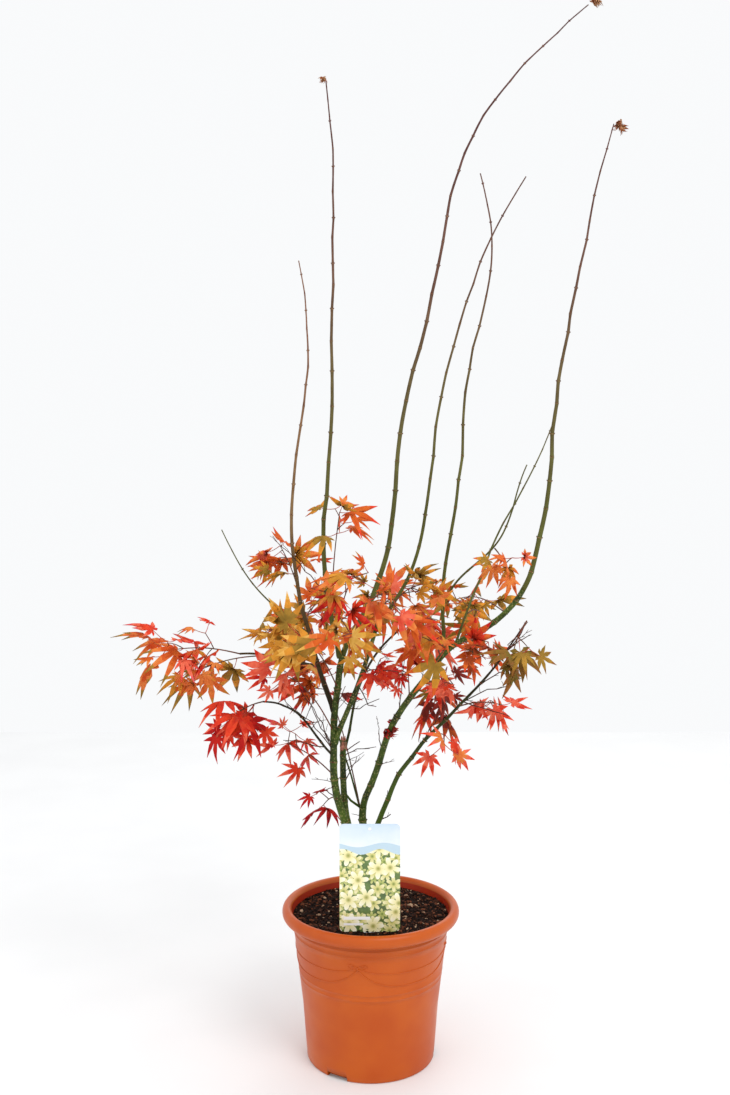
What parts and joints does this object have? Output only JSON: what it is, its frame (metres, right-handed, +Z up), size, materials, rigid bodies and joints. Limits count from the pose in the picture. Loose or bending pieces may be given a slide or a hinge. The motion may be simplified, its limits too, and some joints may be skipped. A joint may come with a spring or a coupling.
{
  "type": "potted japanese maple",
  "caption": "Young multi-stemmed Japanese maple in autumn colour with long bare upright whips, in a round terracotta coloured plastic pot with a plain care label.",
  "frame": {"origin": "middle of the pot's flat underside", "axes": "+Z up, +X to the right and +Y away from the side that the care label faces"},
  "size_m": [0.8829, 0.6362, 1.9357],
  "materials": {
    "pot_plastic": "satin moulded terracotta coloured plastic with fine ridges below the rim",
    "potting_soil": "loose dark crumbs with pale flecks",
    "label_card": "thin glossy printed plastic card with a plain design",
    "green_bark": "smooth olive green bark with pale specks and node rings",
    "whip_bark": "smooth grey brown to reddish bark, green towards the foot",
    "dark_bark": "very dark green brown bark",
    "leaf_rose": "thin pink red autumn leaves",
    "leaf_olive": "thin orange leaves turning olive at their tips",
    "leaf_amber": "thin amber yellow autumn leaves",
    "leaf_orange": "thin orange autumn leaves",
    "leaf_redorange": "thin red orange autumn leaves",
    "leaf_red": "thin bright red autumn leaves",
    "leaf_coral": "thin coral autumn leaves",
    "leaf_bronze": "thin olive bronze leaves",
    "leaf_wine": "thin dark red leaves",
    "leaf_crimson": "thin crimson leaves",
    "leaf_brown": "small dried brown leaves"
  },
  "bodies": {
    "root": {"pot": "pot_plastic", "soil": "potting_soil", "care_label": "label_card", "trunk": "green_bark", "left_stem": "green_bark", "left_leader": "green_bark", "inner_leader": "green_bark", "middle_stem": "green_bark", "cut_stem": "green_bark", "thin_leader": "whip_bark", "right_bough": "green_bark", "right_arm": "green_bark", "right_whip": "whip_bark", "low_right_bough": "green_bark", "dark_limb": "dark_bark", "left_whip": "whip_bark", "tall_whip": "whip_bark", "crossing_whip": "whip_bark", "bent_whip": "whip_bark", "outer_green_twig": "whip_bark", "inner_green_twig": "whip_bark", "bare_left_twig": "whip_bark", "left_low_shoot": "dark_bark", "left_spray_limb": "dark_bark", "far_left_spray": "leaf_rose", "low_left_spray": "leaf_olive", "left_amber_spray": "leaf_amber", "amber_spray": "leaf_amber", "left_back_spray": "leaf_orange", "upper_left_spray": "leaf_orange", "upper_small_spray": "leaf_orange", "red_top_spray": "leaf_red", "leader_spray": "leaf_orange", "centre_front_spray": "leaf_orange", "centre_left_spray": "leaf_amber", "centre_back_spray": "leaf_orange", "mid_red_spray": "leaf_red", "bright_red_spray": "leaf_red", "right_top_spray": "leaf_olive", "pale_coral_spray": "leaf_coral", "big_orange_spray": "leaf_orange", "right_olive_spray": "leaf_olive", "right_red_spray": "leaf_redorange", "small_orange_spray": "leaf_orange", "right_back_spray": "leaf_olive", "far_right_spray": "leaf_bronze", "dark_red_spray": "leaf_wine", "coral_mid_spray": "leaf_coral", "right_low_spray": "leaf_coral", "coral_drop": "leaf_coral", "red_left_spray": "leaf_red", "left_shoot_spray": "leaf_red", "low_back_spray": "leaf_red", "low_shoot_spray": "leaf_coral", "crimson_leaf": "leaf_crimson", "tall_dry_tuft": "leaf_brown", "right_dry_tuft": "leaf_brown", "left_dry_tuft": "leaf_brown"}
  },
  "joints": []
}
